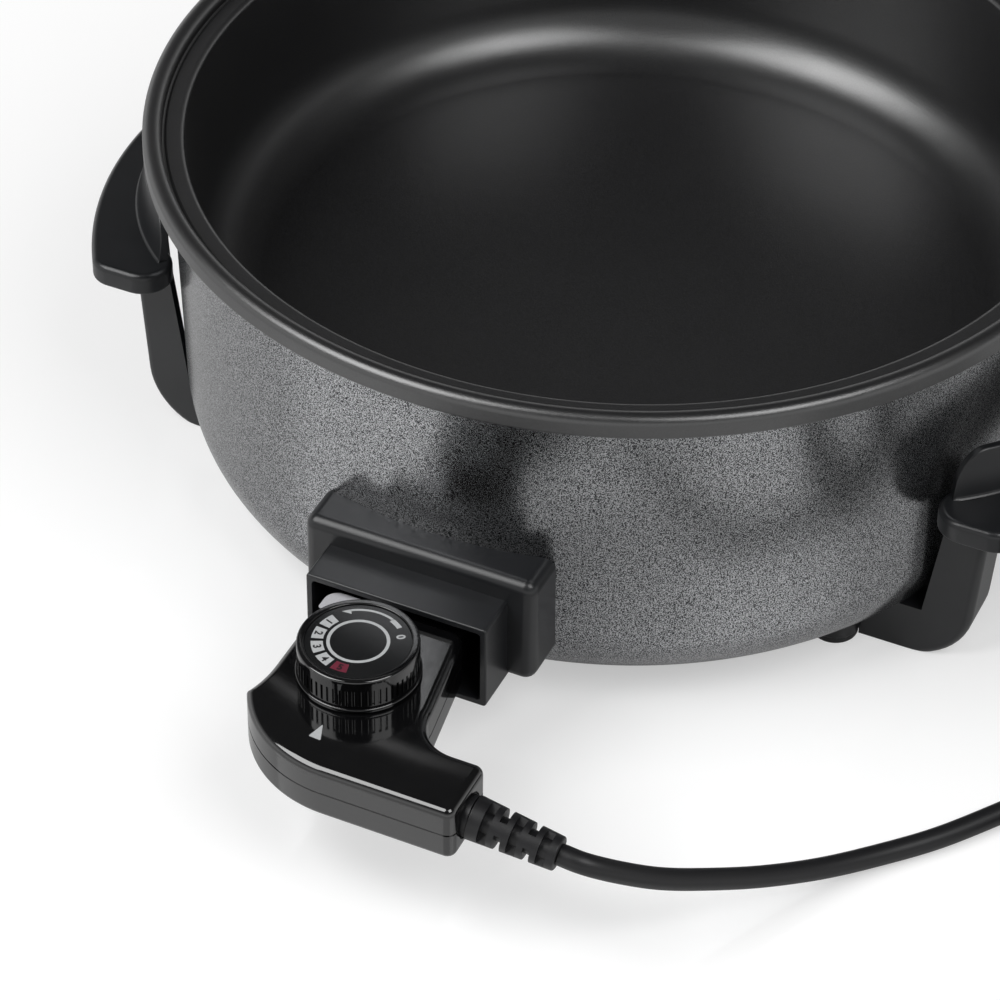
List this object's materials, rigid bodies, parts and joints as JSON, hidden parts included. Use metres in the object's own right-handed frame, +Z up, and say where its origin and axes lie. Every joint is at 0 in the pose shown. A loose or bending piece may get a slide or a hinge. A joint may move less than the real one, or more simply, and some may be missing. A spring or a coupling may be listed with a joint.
{
  "type": "electric skillet",
  "caption": "Deep round electric skillet in a sheet-metal housing, with side handles that are its legs and a plug-in thermostat controller with a dial and mains cord.",
  "frame": {"origin": "on the pan's vertical axis, at the height of the table that the feet stand on", "axes": "+Z up along the pan's axis; -Y towards the controller; +X towards the handle on the side of the mains cord"},
  "size_m": [0.498, 0.412, 0.1352],
  "materials": {
    "nonstick_black": "black non-stick coating on pressed aluminium",
    "hammered_grey": "grey hammered lacquer on sheet steel",
    "bare_aluminium": "plain mill finish",
    "sheath_steel": "dull heat-darkened sheath",
    "ceramic_white": "matt unglazed",
    "contact_nickel": "nickel plated",
    "contact_brass": "rolled brass",
    "fastener_steel": "zinc plated",
    "base_black": "black paint on sheet steel",
    "satin_black_plastic": "satin moulded thermoset",
    "gloss_black_plastic": "polished moulding",
    "dial_print": "gloss black with a printed scale",
    "foot_rubber": "soft black rubber",
    "cord_rubber": "smooth black flex",
    "tie_plastic": "thin black band",
    "plug_plastic": "moulded black plastic"
  },
  "bodies": {
    "pan_unit": {"pan": "nonstick_black", "housing": "hammered_grey", "heat_plate": "bare_aluminium", "heating_element": "sheath_steel", "element_clips": "bare_aluminium", "stand_offs": "fastener_steel", "sensor_block": "bare_aluminium", "terminal_block": "ceramic_white", "terminal_pins": "contact_nickel", "earth_strip": "contact_nickel", "base_cover": "base_black", "base_screws": "fastener_steel", "inlet_shroud": "satin_black_plastic", "shroud_screws": "fastener_steel", "handle_left": "satin_black_plastic", "handle_right": "satin_black_plastic", "handle_screws": "fastener_steel", "handle_nuts": "fastener_steel", "feet": "foot_rubber"},
    "controller": {"upper_shell": "gloss_black_plastic", "lower_shell": "gloss_black_plastic", "contact_block": "ceramic_white", "contact_sleeves": "contact_brass", "probe": "contact_nickel", "earth_leaf": "contact_nickel", "thermostat_switch": "ceramic_white", "dial_bush_nut": "fastener_steel", "controller_screws": "fastener_steel", "strain_relief": "cord_rubber", "cord_lead": "cord_rubber", "cord_coil": "cord_rubber", "cord_tie": "tie_plastic", "cord_tail": "cord_rubber", "plug_body": "plug_plastic", "plug_pins": "contact_nickel"},
    "dial": {"dial_knob": "gloss_black_plastic", "dial_face": "dial_print", "dial_spindle": "fastener_steel"}
  },
  "joints": [
    {"name": "controller_pull", "type": "slide", "parent": "pan_unit", "child": "controller", "axis": [0, -1, 0], "range_m": [0, 0.082]},
    {"name": "dial_turn", "type": "hinge", "parent": "controller", "child": "dial", "pos_m": [0.0012, -0.2061, 0.06], "axis": [0, 0, 1], "range_deg": [0, 231]}
  ]
}
